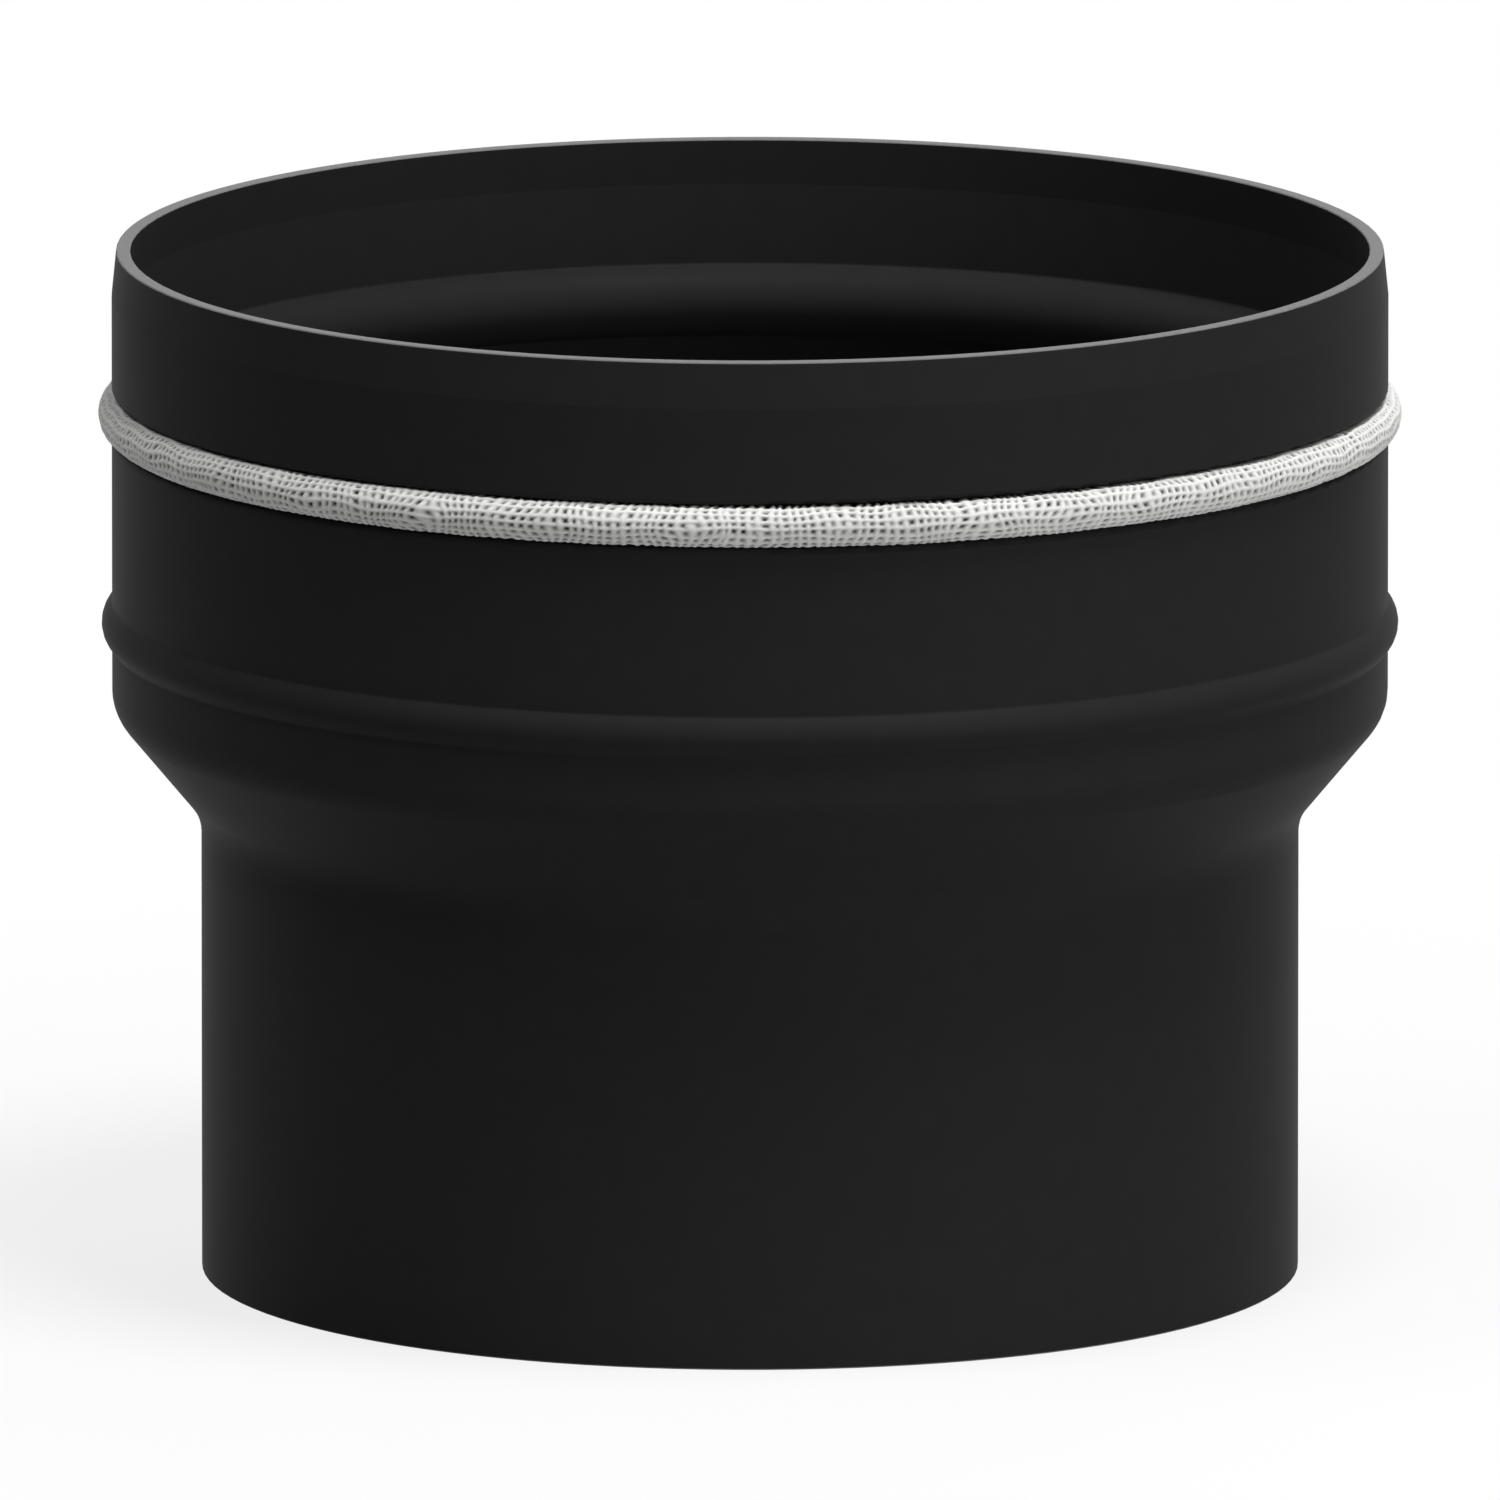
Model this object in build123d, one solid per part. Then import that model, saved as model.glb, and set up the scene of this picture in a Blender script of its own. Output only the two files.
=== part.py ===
from build123d import *
import math
import os

# Stove pipe increaser: a short round flue fitting of black steel, narrow below and wide above.
# It stands on its narrow end, on the XY plane, with its axis on +Z. All sizes are in millimetres.

# Sheet and tube sizes
wall = 2.0
lower_bore_diameter = 150.0
upper_outside_diameter = 179.0

# Heights along the axis, each measured on the outside between the sharp corners of the profile
lower_length = 65.0
cone_height = 15.0
upper_length = 65.0

# Bends at the two ends of the cone
lower_bend_outside_radius = 8.0
upper_bend_inside_radius = 5.0

# Lip: the last stretch below the rim, drawn in so that the spigot enters its sleeve easily
lip_length = 6.5
lip_draw_in = 0.66

# Bead rolled outwards, the stop for the sleeve, placed from the cone's upper corner
bead_above_cone = 12.0
bead_height = 1.45
bead_inside_radius = 1.6
bead_foot_radius = 0.5

# Sealing rope, laid in a groove that is rolled inwards
rope_diameter = 6.0
rope_below_rim = 23.2
rope_stand_out = 1.87
rope_clearance = 0.1
groove_shoulder_radius = 0.8
groove_inside_root_radius = 0.5

# Rounding of the cut edges at both ends
edge_radius = 0.25

# Values worked out from the sizes above
lower_radius = lower_bore_diameter / 2 + wall
upper_radius = upper_outside_diameter / 2
height = lower_length + cone_height + upper_length
cone_angle = math.atan2(upper_radius - lower_radius, cone_height)
lip_angle = math.atan2(lip_draw_in, lip_length)
bead_z = lower_length + cone_height + bead_above_cone
bead_centre_radius = upper_radius + bead_height - (bead_inside_radius + wall)
rope_z = height - rope_below_rim
rope_ring_radius = upper_radius + rope_stand_out - rope_diameter / 2
groove_radius = rope_diameter / 2 + rope_clearance


def nearest_corner(area, r, z):
    """Corner of a flat area that lies nearest to the point (r, z)."""
    return area.vertices().sort_by_distance(Vertex(r, z, 0))[0]


def rounded(area, corners, radius):
    """Area with each of the given (r, z) corners rounded to the same radius."""
    for r, z in corners:
        area = fillet(nearest_corner(area, r, z), radius)
    return area


def half_chord(circle_radius, distance):
    """Half the chord that a straight line cuts from a circle at this distance from its centre."""
    return math.sqrt(circle_radius**2 - distance**2)


def rim_radius(depth):
    """Radius at this depth in the sheet where the sloping lip meets the flat rim."""
    return upper_radius - lip_draw_in - depth / math.cos(lip_angle)


def area_under_skin(depth, shoulder_radius):
    """Half section, from the axis out to the surface that lies this deep in the sheet.

    Depth 0 is the outside skin and depth wall the inside one. The sheet keeps its thickness, so the
    straight runs move in by the depth, and the bends keep their centres and change their radius.
    """
    lower_r = lower_radius - depth
    upper_r = upper_radius - depth
    cone_shift = depth * math.tan(cone_angle / 2)
    lip_shift = depth * math.tan(lip_angle / 2)
    cone_foot = (lower_r, lower_length + cone_shift)
    cone_top = (upper_r, lower_length + cone_height + cone_shift)
    lip_foot = (upper_r, height - lip_length - lip_shift)
    rim = (rim_radius(depth), height)
    corners = [(0, 0), (lower_r, 0), cone_foot, cone_top, lip_foot, rim, (0, height)]
    area = make_face(Polyline(*corners, close=True))
    area = rounded(area, [cone_foot], lower_bend_outside_radius + depth)
    area = rounded(area, [cone_top], upper_bend_inside_radius + wall - depth)

    bead_radius = bead_inside_radius + wall - depth
    bead_chord = half_chord(bead_radius, upper_r - bead_centre_radius)
    bead_feet = [(upper_r, bead_z - bead_chord), (upper_r, bead_z + bead_chord)]
    area = area + Pos(bead_centre_radius, bead_z) * Circle(bead_radius)
    area = rounded(area, bead_feet, bead_foot_radius + depth)

    bulge_radius = groove_radius + depth
    bulge_chord = half_chord(bulge_radius, upper_r - rope_ring_radius)
    shoulders = [(upper_r, rope_z - bulge_chord), (upper_r, rope_z + bulge_chord)]
    area = area - Pos(rope_ring_radius, rope_z) * Circle(bulge_radius)
    return rounded(area, shoulders, shoulder_radius)


def make_pipe_body():
    """One sheet steel tube with its cone, bead, rope groove and lip, all formed from the same wall."""
    outside = area_under_skin(0, groove_shoulder_radius)
    inside = area_under_skin(wall, groove_inside_root_radius)
    section = outside - inside
    cut_edges = [
        (lower_radius, 0),
        (lower_radius - wall, 0),
        (rim_radius(0), height),
        (rim_radius(wall), height),
    ]
    section = rounded(section, cut_edges, edge_radius)
    return revolve(Plane.XZ * section, Axis.Z)


def make_sealing_rope():
    """Round rope laid in the groove and closed to a ring, its two ends butted and glued."""
    section = Pos(rope_ring_radius, rope_z) * Circle(rope_diameter / 2)
    return revolve(Plane.XZ * section, Axis.Z)


os.makedirs("parts", exist_ok=True)
export_step(make_pipe_body(), "parts/pipe_body.step")
export_step(make_sealing_rope(), "parts/sealing_rope.step")
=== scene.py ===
import bpy
import math
import numpy as np
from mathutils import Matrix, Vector


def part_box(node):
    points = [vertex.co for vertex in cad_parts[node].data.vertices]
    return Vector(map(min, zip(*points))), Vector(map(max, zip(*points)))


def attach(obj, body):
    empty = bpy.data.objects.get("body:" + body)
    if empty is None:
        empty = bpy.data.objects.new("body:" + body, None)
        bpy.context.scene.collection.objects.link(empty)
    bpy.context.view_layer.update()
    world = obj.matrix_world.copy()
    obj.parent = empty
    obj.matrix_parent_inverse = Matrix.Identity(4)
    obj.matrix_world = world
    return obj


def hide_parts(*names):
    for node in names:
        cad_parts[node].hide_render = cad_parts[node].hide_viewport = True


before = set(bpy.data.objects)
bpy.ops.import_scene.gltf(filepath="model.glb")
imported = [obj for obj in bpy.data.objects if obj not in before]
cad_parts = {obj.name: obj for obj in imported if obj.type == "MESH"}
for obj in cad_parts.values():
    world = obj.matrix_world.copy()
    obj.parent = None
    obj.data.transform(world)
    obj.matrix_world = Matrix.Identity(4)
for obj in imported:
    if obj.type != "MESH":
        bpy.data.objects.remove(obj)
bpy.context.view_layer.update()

# Pipe body
# The real piece is a short tube of 2 mm sheet steel. Its cone, bead, rope groove and lip are all formed
# from one wall. It is sprayed inside and out with matt black stove paint, and its two ends are cut square.
MM = 0.001
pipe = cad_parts["pipe_body"]
pipe_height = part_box("pipe_body")[1].z


def linear(hex_colour):
    """Linear RGBA of an sRGB hex colour: each channel goes through the sRGB decoding curve."""
    channels = [int(hex_colour[i:i + 2], 16) / 255 for i in (1, 3, 5)]
    decoded = [c / 12.92 if c <= 0.04045 else ((c + 0.055) / 1.055) ** 2.4 for c in channels]
    return (*decoded, 1.0)


def node(tree, kind, inputs=None, **settings):
    """Adds a node, sets its properties, and gives each input a value or a link from another node."""
    made = tree.nodes.new(kind)
    for name, value in settings.items():
        setattr(made, name, value)
    for name, value in (inputs or {}).items():
        if isinstance(value, bpy.types.NodeSocket):
            tree.links.new(value, made.inputs[name])
        else:
            made.inputs[name].default_value = value
    return made


def empty_material(name):
    """A material with no nodes yet, and its node tree."""
    material = bpy.data.materials.new(name)
    material.use_nodes = True
    material.node_tree.nodes.clear()
    return material, material.node_tree


def stove_paint():
    """Matt black heat-resistant paint, sprayed on steel, which dries to a fine dry grain with little gloss.

    The film is a little uneven: its roughness drifts over a few centimetres, and its black over some
    millimetres. The flat cut ends are drawn dull grey, as unpainted steel with the fine marks of the cut;
    their grey also stands in for the light that the flat rim catches from above, a painted sheen.
    """
    # The real grain is finer than a tenth of a millimetre. It is drawn coarser, so that it can show.
    grain_size = 0.45 * MM
    grain_depth = 0.01 * MM
    grain_strength = 0.25
    mottle_size = 4 * MM
    drift_size = 30 * MM
    smoothest = 0.5
    roughest = 0.58
    cut_mark_size = 0.6 * MM
    grey_end_and_sheen_height = 0.2 * MM

    material, tree = empty_material("matt black stove paint on sheet steel")
    place = node(tree, "ShaderNodeTexCoord").outputs["Object"]
    grain = node(tree, "ShaderNodeTexNoise", {"Vector": place, "Scale": 1 / grain_size, "Detail": 2.0})
    mottle = node(tree, "ShaderNodeTexNoise", {"Vector": place, "Scale": 1 / mottle_size, "Detail": 3.0})
    drift = node(tree, "ShaderNodeTexNoise", {"Vector": place, "Scale": 1 / drift_size, "Detail": 1.0})
    marks = node(tree, "ShaderNodeTexNoise", {"Vector": place, "Scale": 1 / cut_mark_size, "Detail": 3.0})

    # A point is on a cut end where it lies further than nearly half the height from the middle.
    height = node(tree, "ShaderNodeSeparateXYZ", {"Vector": place}).outputs["Z"]
    from_middle = node(tree, "ShaderNodeMath", {0: height, 1: pipe_height / 2}, operation="SUBTRACT")
    distance = node(tree, "ShaderNodeMath", {0: from_middle.outputs[0]}, operation="ABSOLUTE")
    grey_end_and_sheen = node(tree, "ShaderNodeMath", {0: distance.outputs[0], 1: pipe_height / 2 - grey_end_and_sheen_height},
                operation="GREATER_THAN").outputs[0]

    paint = node(tree, "ShaderNodeMix", {
        0: mottle.outputs["Fac"],
        6: linear("#242424"),
        7: linear("#282828"),
    }, data_type="RGBA").outputs[2]
    # Painted sheen: the cut ends' grey is partly unpainted steel and partly stands in for the light the
    # flat rim catches from above.
    steel = node(tree, "ShaderNodeMix", {
        0: marks.outputs["Fac"],
        6: linear("#666666"),
        7: linear("#7A7A7A"),
    }, data_type="RGBA").outputs[2]
    colour = node(tree, "ShaderNodeMix", {0: grey_end_and_sheen, 6: paint, 7: steel}, data_type="RGBA").outputs[2]
    roughness = node(tree, "ShaderNodeMapRange", {
        "Value": drift.outputs["Fac"],
        "To Min": smoothest,
        "To Max": roughest,
    })
    bump = node(tree, "ShaderNodeBump", {
        "Height": grain.outputs["Fac"],
        "Strength": grain_strength,
        "Distance": grain_depth,
    })
    surface = node(tree, "ShaderNodeBsdfPrincipled", {
        "Base Color": colour,
        "Roughness": roughness.outputs["Result"],
        "Specular IOR Level": 0.016,
        "Normal": bump.outputs["Normal"],
    })
    node(tree, "ShaderNodeOutputMaterial", {"Surface": surface.outputs["BSDF"]})
    return material


pipe.data.materials[0] = stove_paint()

# Sealing rope
# The real piece is a round glass fibre rope with a woven cover, laid in the groove and closed to a ring.
# Its uncoated white threads cross over and under, packed unevenly, with dark gaps between them; the dark is
# partly real depth and partly painted shade in the yarn's colour.
rope_low, rope_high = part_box("sealing_rope")
rope_radius = (rope_high.z - rope_low.z) / 2
rope_height = (rope_high.z + rope_low.z) / 2
rope_ring_radius = (rope_high.x - rope_low.x) / 2 - rope_radius
threads_across = 420
threads_along = 16
thread_lift = 0.10 * MM
gap_depth = 0.40 * MM
fastest_wave = 60


def wobble(rng, ring, section, waves):
    """Smooth random field on the ring, of unit spread: a sum of cosines with whole numbers of turns."""
    most_section_turns = 3
    field = np.zeros(np.broadcast_shapes(ring.shape, section.shape))
    for _ in range(waves):
        turns_ring = rng.integers(1, fastest_wave + 1)
        turns_section = rng.integers(-most_section_turns, most_section_turns + 1)
        phase = rng.uniform(0, 2 * math.pi)
        field += np.cos(turns_ring * ring + turns_section * section + phase)
    return field * math.sqrt(2 / waves)


def round_thread(offset, half_width):
    """Height of a round thread across its width, 1 on its middle line and 0 at its edges."""
    return np.sqrt(np.clip(1 - (offset / half_width) ** 2, 0, None))


def woven_skin(rng, ring, section):
    """Height of the plain weave over the rope's core, and how much painted shade each point takes, from 0
    to 1.

    Threads across the rope lie at whole numbers of one wandering coordinate, and threads along it at whole
    numbers of the other. Each rises and falls by a cosine as it passes over and under the others, and the
    upper one shows. Every thread has its own small shift and width, and every opening between threads its
    own depth and its own painted shade.
    All widths, shifts and wanderings are in thread spacings.
    """
    waves = 50
    wander_across = 0.30
    wander_along = 0.16
    spread_across = 0.07
    spread_along = 0.05
    half_widths_across = (0.36, 0.47)
    half_widths_along = (0.29, 0.40)
    open_range = (0.6, 1.0)
    gap_shade_curve = 1.6

    across = ring * threads_across / (2 * math.pi) + wander_across * wobble(rng, ring, section, waves)
    along = section * threads_along / (2 * math.pi) + wander_along * wobble(rng, ring, section, waves)
    number_across = np.round(across).astype(int)
    number_along = np.round(along).astype(int)
    index_across = number_across % threads_across
    index_along = number_along % threads_along
    shift_across = rng.normal(0, spread_across, threads_across)[index_across]
    shift_along = rng.normal(0, spread_along, threads_along)[index_along]
    width_across = rng.uniform(*half_widths_across, threads_across)[index_across]
    width_along = rng.uniform(*half_widths_along, threads_along)[index_along]
    body_across = round_thread(across - number_across - shift_across, width_across)
    body_along = round_thread(along - number_along - shift_along, width_along)
    over_across = np.cos(math.pi * along) * np.cos(math.pi * number_across)
    over_along = -np.cos(math.pi * across) * np.cos(math.pi * number_along)
    height_across = body_across * (gap_depth + thread_lift * over_across)
    height_along = body_along * (gap_depth + thread_lift * over_along)
    gap_across = np.floor(across).astype(int) % threads_across
    gap_along = np.floor(along).astype(int) % threads_along
    openness = rng.uniform(*open_range, (threads_across, threads_along))[gap_across, gap_along]
    # Painted shade: 0 on each thread's middle line, rising towards its edges and deepest in open gaps.
    painted_gap_shade = openness * (1 - np.maximum(body_across, body_along) ** gap_shade_curve)
    return np.maximum(np.maximum(height_across, height_along), gap_depth * (1 - openness)), painted_gap_shade


def ring_mesh(name, points, lay):
    """Closed quad mesh over a grid that joins up both ways, with a UV map that runs on past each join.

    Such a grid has as many vertices as faces.
    """
    count_ring, count_section = points.shape[:2]
    ring_index, section_index = np.meshgrid(np.arange(count_ring), np.arange(count_section), indexing="ij")
    corner_ring = np.stack([ring_index, ring_index + 1, ring_index + 1, ring_index], axis=-1)
    corner_section = np.stack([section_index, section_index, section_index + 1, section_index + 1], axis=-1)
    vertex = (corner_ring % count_ring) * count_section + corner_section % count_section
    faces = count_ring * count_section
    mesh = bpy.data.meshes.new(name)
    mesh.vertices.add(faces)
    mesh.vertices.foreach_set("co", points.astype(np.float32).ravel())
    mesh.loops.add(4 * faces)
    mesh.loops.foreach_set("vertex_index", vertex.astype(np.int32).ravel())
    mesh.polygons.add(faces)
    mesh.polygons.foreach_set("loop_start", np.arange(0, 4 * faces, 4, dtype=np.int32))
    mesh.polygons.foreach_set("use_smooth", np.ones(faces, dtype=bool))
    ring_lay, section_lay = lay
    uv = np.stack([ring_lay[corner_ring], section_lay[corner_section]], axis=-1)
    mesh.uv_layers.new(name="thread_lay").data.foreach_set("uv", uv.astype(np.float32).ravel())
    mesh.update(calc_edges=True)
    return mesh


def woven_rope():
    """Rope skin as a torus: ring angle by section angle, its radius the core's plus the weave's height.

    The section angle is 0 on the outside. Its steps are fine where the rope stands out of the groove and
    coarse inside it, where the threads can't be seen. The rope swells a little here and there.
    """
    seed = 7
    ring_steps = 2100
    fine_half_angle = math.radians(76)
    fine_points = 39
    hidden_points = 9
    swell_waves = 24
    swell_height = 0.02 * MM

    rng = np.random.default_rng(seed)
    fine = np.linspace(-fine_half_angle, fine_half_angle, fine_points)
    hidden = np.linspace(fine_half_angle, 2 * math.pi - fine_half_angle, hidden_points)[1:-1]
    section_line = np.concatenate([fine, hidden])
    ring_line = np.linspace(0, 2 * math.pi, ring_steps, endpoint=False)
    ring = ring_line[:, None]
    section = section_line[None, :]
    height, painted_gap_shade = woven_skin(rng, ring, section)
    core_radius = rope_radius - gap_depth - thread_lift / 2
    swell = swell_height * wobble(rng, ring, section, swell_waves)
    radius = core_radius + swell + height
    reach = rope_ring_radius + radius * np.cos(section)
    points = np.stack([
        reach * np.sin(ring),
        -reach * np.cos(ring),
        rope_height + radius * np.sin(section),
    ], axis=-1)
    ring_lay = np.append(ring_line, 2 * math.pi) * rope_ring_radius
    section_lay = np.append(section_line, 2 * math.pi - fine_half_angle) * rope_radius
    mesh = ring_mesh("sealing_rope_weave", points, (ring_lay, section_lay))
    # The point attribute carries the painted shade for the yarn's colour.
    mesh.attributes.new("painted_gap_shade", "FLOAT", "POINT").data.foreach_set("value", painted_gap_shade.astype(np.float32).ravel())
    return mesh


def glass_fibre():
    """Woven glass fibre yarn: white, dull and fibrous, with painted shade that darkens it towards the
    openings between threads.

    Light soaks some millimetres into the bundled glass, which softens the shading round the rope.
    """
    # The real filaments are about a hundredth of a millimetre thick. They are drawn coarser, so that they
    # can show.
    fibre_size = 0.16 * MM
    fibre_depth = 0.02 * MM
    fibre_strength = 0.5
    soil_size = 9 * MM
    light_soak = 2 * MM

    material, tree = empty_material("woven glass fibre yarn")
    lay = node(tree, "ShaderNodeUVMap", uv_map="thread_lay").outputs["UV"]
    place = node(tree, "ShaderNodeTexCoord").outputs["Object"]
    painted_gap_shade = node(tree, "ShaderNodeAttribute", attribute_name="painted_gap_shade").outputs["Fac"]
    fibres = node(tree, "ShaderNodeTexNoise", {"Vector": lay, "Scale": 1 / fibre_size, "Detail": 2.0})
    soil = node(tree, "ShaderNodeTexNoise", {"Vector": place, "Scale": 1 / soil_size, "Detail": 3.0})
    yarn = node(tree, "ShaderNodeMix", {
        0: soil.outputs["Fac"],
        6: linear("#D8D8D6"),
        7: linear("#E6E6E4"),
    }, data_type="RGBA").outputs[2]
    # Painted shade: the yarn's colour darkens to near black where the painted gap shade is full.
    colour = node(tree, "ShaderNodeMix", {
        0: painted_gap_shade,
        6: yarn,
        7: linear("#1C1C1C"),
    }, data_type="RGBA").outputs[2]
    bump = node(tree, "ShaderNodeBump", {
        "Height": fibres.outputs["Fac"],
        "Strength": fibre_strength,
        "Distance": fibre_depth,
    })
    surface = node(tree, "ShaderNodeBsdfPrincipled", {
        "Base Color": colour,
        "Roughness": 0.85,
        "Subsurface Weight": 0.75,
        "Subsurface Radius": (1.0, 1.0, 1.0),
        "Subsurface Scale": light_soak,
        "Specular IOR Level": 0.2,
        "Normal": bump.outputs["Normal"],
    })
    node(tree, "ShaderNodeOutputMaterial", {"Surface": surface.outputs["BSDF"]})
    return material


rope = bpy.data.objects.new("sealing_rope_weave", woven_rope())
bpy.context.scene.collection.objects.link(rope)
rope.data.materials.append(glass_fibre())
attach(rope, "root")
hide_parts("sealing_rope")

# Studio floor
# A plain round white table top that the pipe stands on. It looks white to the camera and in reflections,
# and the part of its brightness that comes from the lamps keeps the pipe's soft shadow.
floor_radius = 0.34
floor_sides = 96


def seen_directly(tree):
    """1 for rays that show the surroundings, from the camera, by reflection or through glass.

    It is 0 for all others.
    """
    rays = node(tree, "ShaderNodeLightPath").outputs
    mirrored = node(tree, "ShaderNodeMath", {0: rays["Is Glossy Ray"], 1: rays["Is Transmission Ray"]},
                    operation="MAXIMUM").outputs[0]
    shown = node(tree, "ShaderNodeMath", {0: rays["Is Camera Ray"], 1: mirrored}, operation="MAXIMUM")
    return shown.outputs[0]


def table_white():
    """White laminate: dull and even, a pale surface to the lamps.

    To the camera and in reflections it glows, so that it reads as a white ground. Near the pipe a share of
    its brightness comes from the lamps, by way of a grey, and keeps the shadow. That share fades to nothing
    further out.
    """
    near_strength = 0.79
    white_strength = 1.0
    fade_from = 0.10
    fade_to = 0.33

    material, tree = empty_material("white table laminate")
    place = node(tree, "ShaderNodeTexCoord").outputs["Object"]
    distance = node(tree, "ShaderNodeVectorMath", {0: place}, operation="LENGTH").outputs["Value"]
    far = node(tree, "ShaderNodeMapRange", {"Value": distance, "From Min": fade_from, "From Max": fade_to},
               interpolation_type="SMOOTHSTEP").outputs["Result"]
    pale = node(tree, "ShaderNodeBsdfDiffuse", {"Color": linear("#C0C0C0")})
    shaded = node(tree, "ShaderNodeBsdfDiffuse", {"Color": linear("#717171")})
    near_glow = node(tree, "ShaderNodeEmission", {"Strength": near_strength})
    near = node(tree, "ShaderNodeAddShader", {0: shaded.outputs[0], 1: near_glow.outputs[0]})
    white = node(tree, "ShaderNodeEmission", {"Strength": white_strength})
    ground = node(tree, "ShaderNodeMixShader", {0: far, 1: near.outputs[0], 2: white.outputs[0]})
    surface = node(tree, "ShaderNodeMixShader", {
        0: seen_directly(tree),
        1: pale.outputs[0],
        2: ground.outputs[0],
    })
    node(tree, "ShaderNodeOutputMaterial", {"Surface": surface.outputs[0]})
    return material


floor_angle = np.linspace(0, 2 * math.pi, floor_sides, endpoint=False)
floor_edge = floor_radius * np.stack([np.cos(floor_angle), np.sin(floor_angle), 0 * floor_angle], axis=-1)
floor_mesh = bpy.data.meshes.new("table_top")
floor_mesh.from_pydata(floor_edge.tolist(), [], [list(range(floor_sides))])
floor_mesh.materials.append(table_white())
floor = bpy.data.objects.new("table_top", floor_mesh)
bpy.context.scene.collection.objects.link(floor)

# Studio light
# One soft box nearly overhead, a wide one low at the right, and weak ones high at the left and behind.
# The room is white to the camera and in reflections, and adds a low even light.
room_light = 0.03
lamp_distance = 1.2
subject = Vector((0, 0, pipe_height / 2))


def place_around(azimuth, elevation):
    """Point at the lamps' distance from the middle of the pipe.

    Azimuth 0 is at the camera's side and 90 at its right.
    """
    a = math.radians(azimuth)
    e = math.radians(elevation)
    outwards = Vector((math.sin(a) * math.cos(e), -math.cos(a) * math.cos(e), math.sin(e)))
    return subject + lamp_distance * outwards


def soft_box(name, azimuth, elevation, width, tall, brightness):
    """Area lamp that faces the pipe, with its power worked out from the brightness of its face."""
    lamp = bpy.data.lights.new(name, "AREA")
    lamp.shape = "RECTANGLE"
    lamp.size = width
    lamp.size_y = tall
    lamp.energy = brightness * math.pi * width * tall
    holder = bpy.data.objects.new(name, lamp)
    holder.location = place_around(azimuth, elevation)
    holder.rotation_euler = (subject - holder.location).to_track_quat("-Z", "Y").to_euler()
    holder.visible_camera = False
    bpy.context.scene.collection.objects.link(holder)


soft_box("high_soft_box", azimuth=36, elevation=74, width=0.4, tall=0.4, brightness=25.0)
soft_box("low_soft_box", azimuth=46, elevation=14, width=0.8, tall=0.5, brightness=5.2)
soft_box("left_soft_box", azimuth=-70, elevation=55, width=0.5, tall=0.5, brightness=4.8)
soft_box("back_soft_box", azimuth=165, elevation=48, width=0.5, tall=0.5, brightness=4.0)

world = bpy.data.worlds.new("white_studio")
world.use_nodes = True
world.node_tree.nodes.clear()
room = world.node_tree
level = node(room, "ShaderNodeMath", {0: seen_directly(room), 1: room_light}, operation="MAXIMUM")
white_room = node(room, "ShaderNodeBackground", {"Color": linear("#FFFFFF"), "Strength": level.outputs[0]})
node(room, "ShaderNodeOutputWorld", {"Surface": white_room.outputs[0]})
bpy.context.scene.world = world
bpy.context.scene.view_settings.view_transform = "Standard"

# Camera
# A very long lens from far away, at the photograph's viewing angle, so that the view is almost without
# perspective.
view_elevation = 10.687
view_width = 210.5 * MM
view_middle = Vector((0, 0, 73.5 * MM))
lens_length = 1700.0
sensor_width = 36.0
sight_limit = 40

lens = bpy.data.cameras.new("camera")
lens.sensor_width = sensor_width
lens.lens = lens_length
lens.clip_end = sight_limit
camera = bpy.data.objects.new("camera", lens)
tilt = math.radians(view_elevation)
view_back = Vector((0, -math.cos(tilt), math.sin(tilt)))
camera.location = view_middle + view_back * view_width * lens_length / sensor_width
camera.rotation_euler = (-view_back).to_track_quat("-Z", "Y").to_euler()
bpy.context.scene.collection.objects.link(camera)
bpy.context.scene.camera = camera
